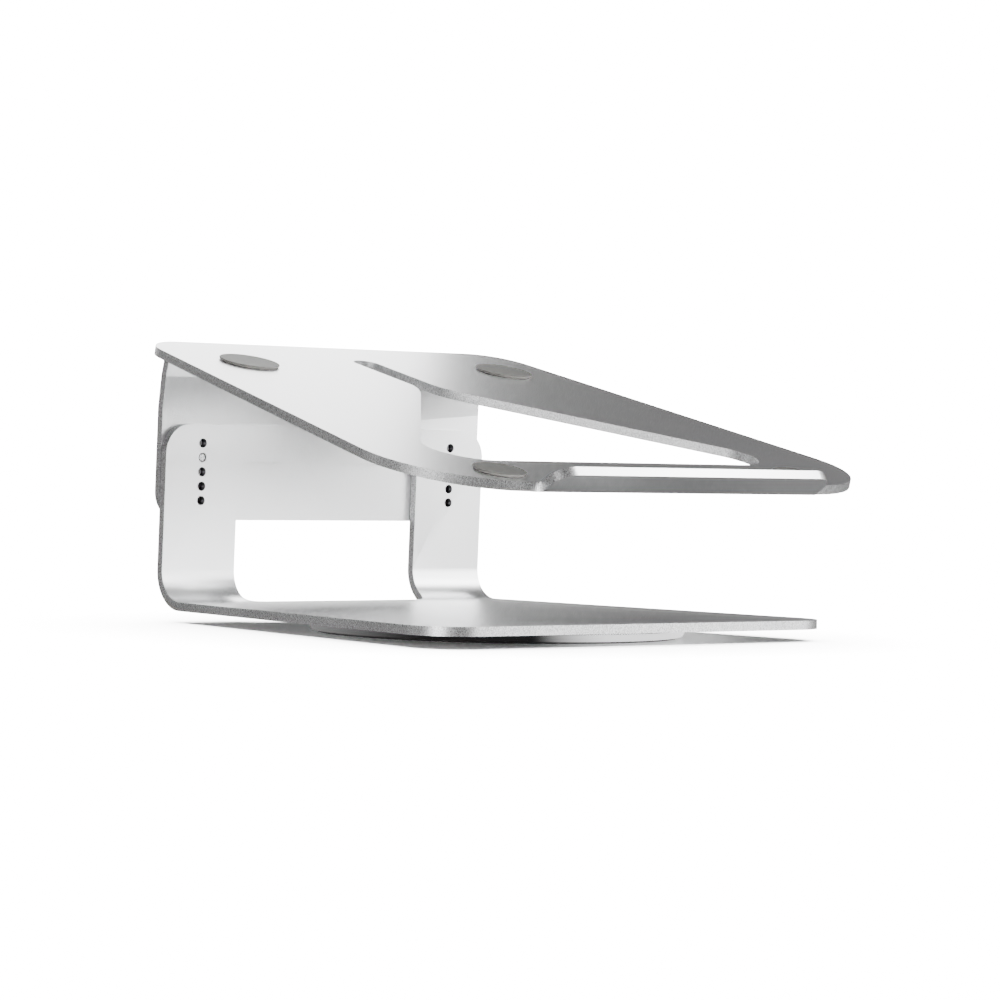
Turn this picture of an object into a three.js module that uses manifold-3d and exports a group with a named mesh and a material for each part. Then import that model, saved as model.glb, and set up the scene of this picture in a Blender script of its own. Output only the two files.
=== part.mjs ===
// Swivel laptop stand: a sheet tray bolted to a bent base bracket that turns on a ball-bearing disc.
// Millimetres, +Z up, X across, +Y to the rear. The origin is the swivel axis at floor level.

import * as THREE from "three";
import { mergeVertices } from "three/addons/utils/BufferGeometryUtils.js";
import Module from "manifold-3d";

const wasm = await Module();
wasm.setup();

// ---------- driving dimensions ----------

const SHEET = 4;                    // thickness of the bracket's and the tray's aluminium sheet
const REST_GAP = 0.3;               // gap between sheets that bear on each other
const RUN_GAP = 0.15;               // radial clearance of a shank in its hole
const ARC_STEP = Math.PI / 20;      // largest turn of one facet on outlines
const BEND_STEP = Math.PI / 30;     // and round the bends of the sheet
const LIP_CORNER_STEPS = 6;
const PAST = 1;                     // how far a cutter runs past the face it cuts
const ROUND = 64;                   // facets round the large turned pieces

// turntable
const PAD_RADIUS = 80;
const PAD_THICKNESS = 0.8;
const DISC_RADIUS = 84;
const DISC_THICKNESS = 4.2;
const DISC_BEVEL = 1.6;             // the disc's side leans in by this much towards the floor
const DISC_EDGE = 1.1;              // height of the upright band above the bevel
const DISC_CHAMFER = 0.3;           // at the disc's top rim
const DISC_FLOOR = 1.1;             // metal left under the bearing pocket
const PLATE_GAP = 0.5;              // between the disc's top and the base plate
const WEB_THICKNESS = 1.2;          // the disc's centre web, which the pivot screw holds

// ball bearing
const BALL_COUNT = 12;
const BALL_RADIUS = 1;
const BALL_CIRCLE = 50;
const BALL_CLEARANCE = 0.1;
const RACE_THICKNESS = 1;
const RACE_INNER = 43;
const RACE_OUTER = 62;
const POCKET_CLEARANCE = 0.3;
const CAGE_THICKNESS = 0.8;
const CAGE_HALF_WIDTH = 3;
const RACE_SCREW_COUNT = 4;
const RACE_SCREW_CIRCLE = 57;
const RACE_SCREW_START = Math.PI / 4;

// hub and pivot
const HUB_RADIUS = 14;
const HUB_FLANGE = 1.8;
const SPIGOT_RADIUS = 4;
const HUB_SCREW_COUNT = 3;
const HUB_SCREW_CIRCLE = 9.5;
const HUB_CLEARANCE = 1;            // between the hub's rim and the disc's well
const WELL_SLOPE = 2;               // how far the well's wall leans out below the web
const PIVOT_SHANK_RADIUS = 2;
const PIVOT_HEAD_RADIUS = 7.5;
const PIVOT_HEAD = 1.1;
const PIVOT_ROOM = 1;               // round the pivot screw's head
const SCREW_RADIUS = 1.5;           // the small countersunk screws
const SCREW_HEAD_RADIUS = 2.6;
const SCREW_BITE = 2.4;             // how far they reach into the base plate

// base bracket
const BRACKET_FRONT_Y = 128.4;      // front face of the upright, where it leaves the bend
const UPRIGHT_LEAN = 1.8 * Math.PI / 180;
const BEND_RADIUS = 14;             // inside of the bend
const BRACKET_WIDTH = 185;
const UPRIGHT_TOP = 90.4;
const UPRIGHT_CORNER = 13;
const WINDOW_WIDTH = 105;
const WINDOW_TOP = 73.5;
const WINDOW_TOP_CORNER = 7;
const WINDOW_FOOT_CORNER = 9;
const BASE_FRONT_Y = -100.7;
const BASE_FLARE = 0.1;             // sideways spread of each edge per unit towards the front
const BASE_CORNER = 21;

// height adjustment
const HOLE_COUNT = 5;
const HOLE_PITCH = 6.6;
const HOLE_TOP_Z = 81.8;
const HOLE_X = 72.5;
const USED_HOLE = 1;                // the screws sit in the second hole from the top
const BOLT_RADIUS = 2;
const BOLT_HEAD_RADIUS = 3.6;
const BOLT_HEAD = 2.4;
const BOLT_CHAMFER = 0.8;
const SOCKET_RADIUS = 1.3;
const SOCKET_DEPTH = 1.4;
const WASHER_RADIUS = 5.5;
const WASHER_THICKNESS = 0.8;
const SPRING_WASHER_RADIUS = 3.5;
const SPRING_WASHER_THICKNESS = 1;
const SPRING_WASHER_SPLIT = 0.6;

// tray
const TRAY_TILT = 13.3 * Math.PI / 180;
const TRAY_REAR_Y = 131;
const TRAY_REAR_Z = 127.9;          // top face at the rear edge
const TRAY_REAR_HALF = 104.5;
const TRAY_FLARE = 0.117;
const TRAY_LENGTH = 255.8;          // along the slope, rear edge to the lip's bend
const TRAY_REAR_CORNER = 22;
const TRAY_FRONT_CORNER = 47;
const LIP_ANGLE = 30 * Math.PI / 180;
const LIP_LENGTH = 12.5;
const LIP_BEND_RADIUS = 3;
const LIP_HALF = 77;
const LIP_CORNER = 9;               // rounding of the lip's two upper corners
const LIP_FOOT = 4;                 // how far the lip widens on each side as it meets the plate
const PANEL_BOTTOM = 46.4;
const PANEL_CORNER = 13;
const PANEL_BEND_Z = 98;            // the rear panel curves forward above this height
const PANEL_BEND_RADIUS = 110;
const PANEL_TOP_HALF = 91.5;
const PANEL_FILLET = 6;
const PANEL_RISE = 0.4;             // share of the sheet that the panel's top runs up into the plate
const LIP_ROOT = 2;                 // how far the lip's sheet runs back into the plate

// cut-out in the tray, distances along the slope from the rear edge
const CUT_TIP = 26.5;
const CUT_NECK_HALF = 6.5;
const CUT_NECK_END = 75;
const CUT_FLARE_START = 97;
const CUT_FLARE_HALF = 17;
const CUT_FLARE = 0.76;
const FRONT_BAND = 35.8;            // plate left between the cut-out and the lip's bend
const CUT_FRONT = TRAY_LENGTH - FRONT_BAND;
const CUT_CORNER = 20;

// rest pads
const REAR_PAD_RADIUS = 13.7;
const FRONT_PAD_RADIUS = 11.4;
const REST_PAD_HEIGHT = 1.3;
const PAD_LIFT = 0.1;               // film of adhesive under each rest pad
const REAR_PAD_X = 74;
const REAR_PAD_S = 42.7;
const FRONT_PAD_X = 84.5;
const FRONT_PAD_INSET = 16.4;       // front pads' centres, back from the lip's bend
const FRONT_PAD_S = TRAY_LENGTH - FRONT_PAD_INSET;

// ---------- derived heights and places ----------

const DISC_BOTTOM = PAD_THICKNESS;
const DISC_TOP = DISC_BOTTOM + DISC_THICKNESS;
const POCKET_FLOOR = DISC_BOTTOM + DISC_FLOOR;
const BASE_BOTTOM = DISC_TOP + PLATE_GAP;
const BASE_TOP = BASE_BOTTOM + SHEET;
const BALL_Z = (POCKET_FLOOR + BASE_BOTTOM) / 2;
const HUB_BOTTOM = BASE_BOTTOM - HUB_FLANGE;
const WEB_TOP = HUB_BOTTOM - 2 * BALL_CLEARANCE;
const WEB_BOTTOM = WEB_TOP - WEB_THICKNESS;
const BEND_START_Y = BRACKET_FRONT_Y - BEND_RADIUS;
const USED_HOLE_Z = HOLE_TOP_Z - USED_HOLE * HOLE_PITCH;
const HOLE_RADIUS = BOLT_RADIUS + RUN_GAP;
const PANEL_OFFSET = SHEET + REST_GAP;      // rear panel's front face, behind the upright's front face

// ---------- solids ----------

function solid(geometry) {
  const bare = geometry.index ? geometry.toNonIndexed() : geometry.clone();
  bare.deleteAttribute("normal");
  bare.deleteAttribute("uv");
  const merged = mergeVertices(bare, 1e-4);
  const vertProperties = new Float32Array(merged.attributes.position.array);
  const corners = merged.index.array;
  const kept = [];
  for (let i = 0; i < corners.length; i += 3) {
    const [a, b, c] = corners.slice(i, i + 3);
    if (a !== b && b !== c && c !== a) kept.push(a, b, c);
  }
  const triVerts = new Uint32Array(kept);
  return new wasm.Manifold(new wasm.Mesh({ numProp: 3, vertProperties, triVerts }));
}

function geometryOf(manifold) {
  const mesh = manifold.getMesh();
  const geometry = new THREE.BufferGeometry();
  const positions = new Float32Array(mesh.vertProperties);
  geometry.setAttribute("position", new THREE.BufferAttribute(positions, 3));
  geometry.setIndex(new THREE.BufferAttribute(new Uint32Array(mesh.triVerts), 1));
  geometry.computeVertexNormals();
  return geometry;
}

// Turns a closed surface inside out if its faces point inwards.
function facingOut(geometry) {
  const { position } = geometry.attributes;
  const index = geometry.index.array;
  const corner = (i) => new THREE.Vector3().fromBufferAttribute(position, index[i]);
  let volume = 0;
  for (let i = 0; i < index.length; i += 3) volume += corner(i).cross(corner(i + 1)).dot(corner(i + 2));
  if (volume < 0) index.reverse();
  return geometry;
}

const join = (first, ...rest) => rest.reduce((sum, next) => sum.add(next), first);
const cut = (first, ...rest) => rest.reduce((sum, next) => sum.subtract(next), first);

// Points of a circular arc about (cx, cy), from angle a0 to a1.
function arc(cx, cy, radius, a0, a1) {
  const steps = Math.max(2, Math.ceil(Math.abs(a1 - a0) / ARC_STEP));
  return Array.from({ length: steps + 1 }, (_, i) => {
    const a = a0 + (a1 - a0) * i / steps;
    return [cx + radius * Math.cos(a), cy + radius * Math.sin(a)];
  });
}

// A closed outline from its right half, listed from the lower centre line round to the upper one.
function mirrored(rightHalf) {
  const left = rightHalf.map(([x, y]) => [-x, y]).reverse();
  return [...rightHalf, ...left].filter(([x, y], i, all) => {
    const [px, py] = all[(i + all.length - 1) % all.length];
    return Math.hypot(x - px, y - py) > 1e-3;
  });
}

const shapeOf = (points) => new THREE.Shape(points.map(([x, y]) => new THREE.Vector2(x, y)));

// An outline in XY raised from z0 to z1.
function raised(points, z0, z1) {
  const geometry = new THREE.ExtrudeGeometry(shapeOf(points), { depth: z1 - z0, bevelEnabled: false });
  return geometry.translate(0, 0, z0);
}

// An outline in XZ carried from y0 to y1.
function carriedBack(points, y0, y1) {
  return raised(points, 0, y1 - y0).rotateX(Math.PI / 2).translate(0, y1, 0);
}

// An outline in YZ carried across from -half to +half.
function carriedAcross(points, half) {
  const turn = new THREE.Matrix4().set(0, 0, 1, 0, 1, 0, 0, 0, 0, 1, 0, 0, 0, 0, 0, 1);
  return raised(points, -half, half).applyMatrix4(turn);
}

// A round solid about Z: its [radius, z] profile starts and ends on the axis, or is closed here.
function turned(profile, segments = 48) {
  const closed = profile[0][0] === 0 ? profile : [...profile, profile[0]];
  const points = closed.map(([r, z]) => new THREE.Vector2(r, z));
  return facingOut(new THREE.LatheGeometry(points, segments).rotateX(Math.PI / 2));
}

// A disc or ring about Z; an inner radius of zero gives a full disc.
function ring(inner, outer, z0, z1, segments = 32) {
  if (inner > 0) return turned([[inner, z0], [outer, z0], [outer, z1], [inner, z1]], segments);
  return new THREE.CylinderGeometry(outer, outer, z1 - z0, segments)
    .rotateX(Math.PI / 2).translate(0, 0, (z0 + z1) / 2);
}

// A sheet swept along YZ stations, each with an inner and an outer point and a half width in X.
function ribbon(stations) {
  const positions = [];
  for (const { inner, outer, half } of stations) {
    positions.push(-half, ...inner, half, ...inner, half, ...outer, -half, ...outer);
  }
  const index = [0, 2, 1, 0, 3, 2];
  for (let i = 0; i + 1 < stations.length; i += 1) {
    for (let k = 0; k < 4; k += 1) {
      const a = 4 * i + k;
      const b = 4 * i + (k + 1) % 4;
      index.push(a, b, b + 4, a, b + 4, a + 4);
    }
  }
  const last = 4 * (stations.length - 1);
  index.push(last, last + 1, last + 2, last, last + 2, last + 3);
  const geometry = new THREE.BufferGeometry();
  geometry.setAttribute("position", new THREE.Float32BufferAttribute(positions, 3));
  geometry.setIndex(index);
  return solid(facingOut(geometry));
}

// ---------- shared places ----------

// Where the bend ends on the upright's front face, as [y, z].
const UPRIGHT_FOOT = [
  BEND_START_Y + BEND_RADIUS * Math.cos(UPRIGHT_LEAN),
  BASE_TOP + BEND_RADIUS + BEND_RADIUS * Math.sin(UPRIGHT_LEAN),
];

// The upright's front face at a height, and the distance up that face.
const faceY = (z) => UPRIGHT_FOOT[0] - Math.tan(UPRIGHT_LEAN) * (z - UPRIGHT_FOOT[1]);
const upFace = (z) => (z - UPRIGHT_FOOT[1]) / Math.cos(UPRIGHT_LEAN);

// Carries a solid modelled about Z, pointing up, onto a line square to the upright's face.
function ontoUpright(geometry, x, z, depth) {
  const face = new THREE.Vector3(x, faceY(z), z);
  const square = new THREE.Vector3(0, Math.cos(UPRIGHT_LEAN), Math.sin(UPRIGHT_LEAN));
  const place = face.addScaledVector(square, depth);
  return geometry.rotateX(-Math.PI / 2 + UPRIGHT_LEAN).translate(place.x, place.y, place.z);
}

// Half width of the window at a distance above the bend's start, with its foot corners rounded.
function windowHalf(u) {
  const short = Math.max(0, WINDOW_FOOT_CORNER - u);
  const inset = WINDOW_FOOT_CORNER - Math.sqrt(WINDOW_FOOT_CORNER ** 2 - short ** 2);
  return WINDOW_WIDTH / 2 - inset;
}

// ---------- turntable ----------

function floorPad() {
  return ring(0, PAD_RADIUS, 0, PAD_THICKNESS, ROUND);
}

function baseDisc() {
  const pocket = RACE_OUTER + POCKET_CLEARANCE;
  const headRoom = PIVOT_HEAD_RADIUS + PIVOT_ROOM;
  const well = HUB_RADIUS + HUB_CLEARANCE;
  const profile = [
    [headRoom, DISC_BOTTOM], [DISC_RADIUS - DISC_BEVEL, DISC_BOTTOM],
    [DISC_RADIUS, DISC_TOP - DISC_EDGE], [DISC_RADIUS, DISC_TOP - DISC_CHAMFER],
    [DISC_RADIUS - DISC_CHAMFER, DISC_TOP], [pocket, DISC_TOP], [pocket, POCKET_FLOOR],
    [well + WELL_SLOPE, POCKET_FLOOR], [well, WEB_TOP], [SPIGOT_RADIUS + RUN_GAP, WEB_TOP],
    [SPIGOT_RADIUS + RUN_GAP, WEB_BOTTOM], [headRoom, WEB_BOTTOM],
  ];
  return turned(profile, ROUND);
}

// A flat race with a shallow groove for the balls; up is +1 when the groove faces up.
function race(face, up) {
  const back = face - up * RACE_THICKNESS;
  const grooveRadius = BALL_RADIUS + BALL_CLEARANCE;
  const half = Math.sqrt(grooveRadius ** 2 - (face - BALL_Z) ** 2);
  const groove = [1, 0.4, -0.4, -1].map((t) => {
    const r = t * half;
    return [BALL_CIRCLE + r, BALL_Z - up * Math.sqrt(grooveRadius ** 2 - r ** 2)];
  });
  const rim = [[RACE_INNER, back], [RACE_OUTER, back], [RACE_OUTER, face]];
  return turned([...rim, ...groove, [RACE_INNER, face]], ROUND);
}

const lowerRace = () => race(POCKET_FLOOR + RACE_THICKNESS, 1);

const onCircle = (radius, angle) => [radius * Math.cos(angle), radius * Math.sin(angle)];

function ballCage() {
  const half = CAGE_THICKNESS / 2;
  const inner = BALL_CIRCLE - CAGE_HALF_WIDTH;
  const outer = BALL_CIRCLE + CAGE_HALF_WIDTH;
  const band = solid(ring(inner, outer, BALL_Z - half, BALL_Z + half, ROUND));
  const holes = Array.from({ length: BALL_COUNT }, (_, i) => {
    const [x, y] = onCircle(BALL_CIRCLE, i * 2 * Math.PI / BALL_COUNT);
    const hole = ring(0, BALL_RADIUS + RUN_GAP, BALL_Z - half - PAST, BALL_Z + half + PAST, 16);
    return solid(hole.translate(x, y, 0));
  });
  return geometryOf(cut(band, ...holes));
}

function bearingBall(index) {
  const [x, y] = onCircle(BALL_CIRCLE, index * 2 * Math.PI / BALL_COUNT);
  return new THREE.SphereGeometry(BALL_RADIUS, 10, 6).rotateX(Math.PI / 2).translate(x, y, BALL_Z);
}

// A countersunk screw pointing up, its flat head flush with the face at z.
function countersunk(x, y, z, bite) {
  const neck = z + SCREW_HEAD_RADIUS - SCREW_RADIUS;
  const profile = [[0, z], [SCREW_HEAD_RADIUS, z], [SCREW_RADIUS, neck], [SCREW_RADIUS, bite], [0, bite]];
  return turned(profile, 16).translate(x, y, 0);
}

// The clearance cutter for that screw, wider all round and deeper.
function countersunkHole(x, y, z, bite) {
  const neck = z + SCREW_HEAD_RADIUS - SCREW_RADIUS;
  const wide = SCREW_HEAD_RADIUS + RUN_GAP;
  const narrow = SCREW_RADIUS + RUN_GAP;
  const top = bite + REST_GAP;
  const profile = [[0, z - PAST], [wide, z - PAST], [wide, z], [narrow, neck], [narrow, top], [0, top]];
  return solid(turned(profile, 16).translate(x, y, 0));
}

const screwTop = BASE_BOTTOM + SCREW_BITE;
const raceFace = BASE_BOTTOM - RACE_THICKNESS;
const raceScrewPlaces = Array.from({ length: RACE_SCREW_COUNT }, (_, i) =>
  onCircle(RACE_SCREW_CIRCLE, RACE_SCREW_START + i * 2 * Math.PI / RACE_SCREW_COUNT));
const hubScrewPlaces = Array.from({ length: HUB_SCREW_COUNT }, (_, i) =>
  onCircle(HUB_SCREW_CIRCLE, Math.PI / 2 + i * 2 * Math.PI / HUB_SCREW_COUNT));

const raceScrewHoles = () => raceScrewPlaces.map(([x, y]) => countersunkHole(x, y, raceFace, screwTop));
const hubScrewHoles = () => hubScrewPlaces.map(([x, y]) => countersunkHole(x, y, HUB_BOTTOM, screwTop));

function upperRace() {
  return geometryOf(cut(solid(race(raceFace, -1)), ...raceScrewHoles()));
}

function swivelHub() {
  const bore = PIVOT_SHANK_RADIUS + RUN_GAP;
  const foot = WEB_BOTTOM + REST_GAP;
  const body = turned([
    [bore, foot], [SPIGOT_RADIUS, foot], [SPIGOT_RADIUS, HUB_BOTTOM],
    [HUB_RADIUS, HUB_BOTTOM], [HUB_RADIUS, BASE_BOTTOM], [bore, BASE_BOTTOM],
  ], 40);
  return geometryOf(cut(solid(body), ...hubScrewHoles()));
}

function pivotScrew() {
  const headTop = WEB_BOTTOM - BALL_CLEARANCE;
  const headBottom = headTop - PIVOT_HEAD;
  const tip = BASE_BOTTOM - REST_GAP;
  return turned([
    [0, headBottom], [PIVOT_HEAD_RADIUS, headBottom], [PIVOT_HEAD_RADIUS, headTop],
    [PIVOT_SHANK_RADIUS, headTop], [PIVOT_SHANK_RADIUS, tip], [0, tip],
  ], 32);
}

// ---------- base bracket ----------

// Right half of the base plate, from the front centre line round to the bend.
function baseOutline() {
  const flare = Math.atan(BASE_FLARE);
  const cy = BASE_FRONT_Y + BASE_CORNER;
  const edgeX = (y) => BRACKET_WIDTH / 2 + BASE_FLARE * (BEND_START_Y - y);
  const cx = edgeX(cy) - BASE_CORNER / Math.cos(flare);
  return mirrored([
    [0, BASE_FRONT_Y], ...arc(cx, cy, BASE_CORNER, -Math.PI / 2, flare),
    [BRACKET_WIDTH / 2, BEND_START_Y], [0, BEND_START_Y],
  ]);
}

// Stations round the bend: the inside is the plate's top and the upright's front.
function bendStations(insideRadius, outsideRadius, halfAt) {
  const turn = Math.PI / 2 + UPRIGHT_LEAN;
  const steps = Math.ceil(turn / BEND_STEP);
  return Array.from({ length: steps + 1 }, (_, i) => {
    const a = turn * i / steps;
    const at = (r) => [BEND_START_Y + r * Math.sin(a), BASE_TOP + BEND_RADIUS - r * Math.cos(a)];
    return { inner: at(insideRadius), outer: at(outsideRadius), half: halfAt(a * BEND_RADIUS) };
  });
}

// An outline of x and distance up the upright's face, made into a slab between two depths behind it.
function uprightSlab(points, front, back) {
  const slab = carriedBack(points, front, back);
  const lean = new THREE.Matrix4().makeRotationX(UPRIGHT_LEAN);
  return slab.applyMatrix4(lean).translate(0, UPRIGHT_FOOT[0], UPRIGHT_FOOT[1]);
}

// Right half of an upright outline with a square foot at u0 and a rounded top corner.
const roundTopped = (half, u0, top, corner) => mirrored([
  [0, u0], [half, u0], ...arc(half - corner, top - corner, corner, 0, Math.PI / 2), [0, top],
]);

function baseBracket() {
  const half = BRACKET_WIDTH / 2;
  const outline = roundTopped(half, 0, upFace(UPRIGHT_TOP), UPRIGHT_CORNER);
  const plate = solid(raised(baseOutline(), BASE_BOTTOM, BASE_TOP));
  const bend = ribbon(bendStations(BEND_RADIUS, BEND_RADIUS + SHEET, () => half));
  const upright = solid(uprightSlab(outline, 0, SHEET));
  const cutters = [windowBend(), windowFace(), ...heightHoles(), ...raceScrewHoles(), ...hubScrewHoles()];
  return geometryOf(cut(join(plate, bend, upright), ...cutters));
}

// The window's cut through the bend, past both faces of the sheet.
function windowBend() {
  return ribbon(bendStations(BEND_RADIUS - PAST, BEND_RADIUS + SHEET + PAST, windowHalf));
}

// The window's cut through the upright, up to its rounded top corners.
function windowFace() {
  const outline = roundTopped(WINDOW_WIDTH / 2, -0.01, upFace(WINDOW_TOP), WINDOW_TOP_CORNER);
  return solid(uprightSlab(outline, -PAST, SHEET + PAST));
}

function heightHoles() {
  const heights = Array.from({ length: HOLE_COUNT }, (_, i) => HOLE_TOP_Z - i * HOLE_PITCH);
  const places = heights.flatMap((z) => [[-HOLE_X, z], [HOLE_X, z]]);
  return places.map(([x, z]) => solid(ontoUpright(ring(0, HOLE_RADIUS, -PAST, SHEET + PAST, 20), x, z, 0)));
}

// ---------- height screws ----------

const washerBack = PANEL_OFFSET + SHEET + REST_GAP;
const springBack = washerBack + WASHER_THICKNESS + REST_GAP;
const headBack = springBack + SPRING_WASHER_THICKNESS + REST_GAP;

// The shank starts flush with the upright's front face; the socket head is behind the washers.
function heightScrew(side) {
  const end = headBack + BOLT_HEAD;
  const body = turned([
    [0, REST_GAP], [BOLT_RADIUS, REST_GAP], [BOLT_RADIUS, headBack],
    [BOLT_HEAD_RADIUS, headBack], [BOLT_HEAD_RADIUS, end - BOLT_CHAMFER],
    [BOLT_HEAD_RADIUS - BOLT_CHAMFER, end], [0, end],
  ], 24);
  const socket = ring(0, SOCKET_RADIUS, end - SOCKET_DEPTH, end + PAST, 6);
  const screw = geometryOf(cut(solid(body), solid(socket)));
  return ontoUpright(screw, side * HOLE_X, USED_HOLE_Z, 0);
}

function flatWasher(side) {
  const body = ring(HOLE_RADIUS, WASHER_RADIUS, washerBack, washerBack + WASHER_THICKNESS, 24);
  return ontoUpright(body, side * HOLE_X, USED_HOLE_Z, 0);
}

function springWasher(side) {
  const end = springBack + SPRING_WASHER_THICKNESS;
  const body = solid(ring(HOLE_RADIUS, SPRING_WASHER_RADIUS, springBack, end, 24));
  const tall = SPRING_WASHER_THICKNESS + 2 * PAST;
  const split = new THREE.BoxGeometry(2 * SPRING_WASHER_RADIUS, SPRING_WASHER_SPLIT, tall);
  split.translate(SPRING_WASHER_RADIUS, 0, (springBack + end) / 2);
  return ontoUpright(geometryOf(cut(body, solid(split))), side * HOLE_X, USED_HOLE_Z, 0);
}

// ---------- tray ----------

// The tray's own plane: x across, s down the slope from the rear edge, n above the top face.
const slope = [-Math.cos(TRAY_TILT), -Math.sin(TRAY_TILT)];
const above = [-Math.sin(TRAY_TILT), Math.cos(TRAY_TILT)];
const onTray = (s, n) => [
  TRAY_REAR_Y + s * slope[0] + n * above[0],
  TRAY_REAR_Z + s * slope[1] + n * above[1],
];

// Carries a solid from the tray's own plane, with -s as its Y and n as its Z, to its place.
const toTray = (geometry) => geometry.rotateX(TRAY_TILT).translate(0, TRAY_REAR_Y, TRAY_REAR_Z);

const trayHalf = (s) => TRAY_REAR_HALF + TRAY_FLARE * s;

function trayOutline() {
  const flare = Math.atan(TRAY_FLARE);
  const frontS = TRAY_LENGTH - TRAY_FRONT_CORNER;
  const frontX = trayHalf(frontS) - TRAY_FRONT_CORNER / Math.cos(flare);
  const rearX = trayHalf(TRAY_REAR_CORNER) - TRAY_REAR_CORNER / Math.cos(flare);
  return mirrored([
    [0, -TRAY_LENGTH], ...arc(frontX, -frontS, TRAY_FRONT_CORNER, -Math.PI / 2, flare),
    ...arc(rearX, -TRAY_REAR_CORNER, TRAY_REAR_CORNER, flare, Math.PI / 2), [0, 0],
  ]);
}

// The funnel-shaped opening: a round-tipped neck that flares into a wide front with round corners.
function cutOutline() {
  const flare = Math.atan(CUT_FLARE);
  const cornerS = CUT_FRONT - CUT_CORNER;
  const sideX = CUT_FLARE_HALF + CUT_FLARE * (cornerS - CUT_FLARE_START);
  const cornerX = sideX - CUT_CORNER / Math.cos(flare);
  const bend = new THREE.QuadraticBezierCurve(
    new THREE.Vector2(CUT_FLARE_HALF, -CUT_FLARE_START),
    new THREE.Vector2(CUT_NECK_HALF, -CUT_FLARE_START + (CUT_FLARE_HALF - CUT_NECK_HALF) / CUT_FLARE),
    new THREE.Vector2(CUT_NECK_HALF, -CUT_NECK_END),
  ).getPoints(8).map((p) => [p.x, p.y]);
  return mirrored([
    [0, -CUT_FRONT], ...arc(cornerX, -cornerS, CUT_CORNER, -Math.PI / 2, flare),
    ...bend, ...arc(0, -CUT_TIP - CUT_NECK_HALF, CUT_NECK_HALF, 0, Math.PI / 2),
  ]);
}

// The lip: round its bend, then straight out to the tip, with slanted ends.
function trayLip() {
  const turn = TRAY_TILT + LIP_ANGLE;
  const steps = Math.ceil(turn / BEND_STEP);
  const rootS = TRAY_LENGTH - LIP_ROOT;
  const footHalf = LIP_HALF + LIP_FOOT;
  const stations = [{ inner: onTray(rootS, 0), outer: onTray(rootS, -SHEET), half: footHalf }];
  const centre = onTray(TRAY_LENGTH, LIP_BEND_RADIUS);
  for (let i = 0; i <= steps; i += 1) {
    const a = TRAY_TILT - Math.PI / 2 - turn * i / steps;
    const at = (r) => [centre[0] + r * Math.cos(a), centre[1] + r * Math.sin(a)];
    const half = LIP_HALF + LIP_FOOT * (1 - i / steps) ** 2;
    stations.push({ inner: at(LIP_BEND_RADIUS), outer: at(LIP_BEND_RADIUS + SHEET), half });
  }
  const { inner, outer } = stations[stations.length - 1];
  const along = ([y, z], d) => [y - Math.cos(LIP_ANGLE) * d, z + Math.sin(LIP_ANGLE) * d];
  for (let i = 0; i <= LIP_CORNER_STEPS; i += 1) {
    const a = Math.PI / 2 * i / LIP_CORNER_STEPS;
    const d = LIP_LENGTH - LIP_CORNER * (1 - Math.sin(a));
    const half = LIP_HALF - LIP_CORNER * (1 - Math.cos(a));
    stations.push({ inner: along(inner, d), outer: along(outer, d), half });
  }
  return ribbon(stations);
}

// The arc that carries the rear panel's front face forward from the upright to the plate.
const panelDepth = PANEL_OFFSET / Math.cos(UPRIGHT_LEAN);
const panelCentre = [
  faceY(PANEL_BEND_Z) + panelDepth - PANEL_BEND_RADIUS * Math.cos(UPRIGHT_LEAN),
  PANEL_BEND_Z - PANEL_BEND_RADIUS * Math.sin(UPRIGHT_LEAN),
];
const panelRise = TRAY_REAR_Z - (1 - PANEL_RISE) * SHEET - panelCentre[1];
const panelEnd = Math.asin(panelRise / PANEL_BEND_RADIUS);
const onPanelArc = (a) => [
  panelCentre[0] + PANEL_BEND_RADIUS * Math.cos(a),
  panelCentre[1] + PANEL_BEND_RADIUS * Math.sin(a),
];

// Section of the rear panel: flat against the upright, then curving forward up to the plate.
function panelSection() {
  const [cy, cz] = panelCentre;
  const footY = faceY(PANEL_BOTTOM) + panelDepth;
  const front = arc(cy, cz, PANEL_BEND_RADIUS, panelEnd, UPRIGHT_LEAN);
  const back = arc(cy, cz, PANEL_BEND_RADIUS + SHEET, UPRIGHT_LEAN, panelEnd);
  return [[footY, PANEL_BOTTOM], [footY + SHEET / Math.cos(UPRIGHT_LEAN), PANEL_BOTTOM], ...back, ...front];
}

// Front view of the rear panel, round-cornered at the foot and a little narrower at the top.
function panelOutline() {
  const half = BRACKET_WIDTH / 2;
  const top = TRAY_REAR_Z + SHEET;
  const foot = arc(half - PANEL_CORNER, PANEL_BOTTOM + PANEL_CORNER, PANEL_CORNER, -Math.PI / 2, 0);
  const sides = [[half, PANEL_BEND_Z], [PANEL_TOP_HALF, TRAY_REAR_Z - SHEET], [PANEL_TOP_HALF, top]];
  return mirrored([[0, PANEL_BOTTOM], ...foot, ...sides, [0, top]]);
}

// The upright slot that lets the tray slide by one hole pitch each way past its screw.
function heightSlot(side) {
  const upper = arc(0, HOLE_PITCH, HOLE_RADIUS, 0, Math.PI);
  const lower = arc(0, -HOLE_PITCH, HOLE_RADIUS, Math.PI, 2 * Math.PI);
  const slot = raised([...upper, ...lower], PANEL_OFFSET - PAST, PANEL_OFFSET + SHEET + PAST);
  return solid(ontoUpright(slot, side * HOLE_X, USED_HOLE_Z, 0));
}

function rearPanel() {
  const section = solid(carriedAcross(panelSection(), BRACKET_WIDTH));
  const reach = PANEL_BEND_RADIUS / 2;
  const outline = solid(carriedBack(panelOutline(), BRACKET_FRONT_Y - reach, BRACKET_FRONT_Y + reach));
  return cut(section.intersect(outline), heightSlot(-1), heightSlot(1));
}

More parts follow.
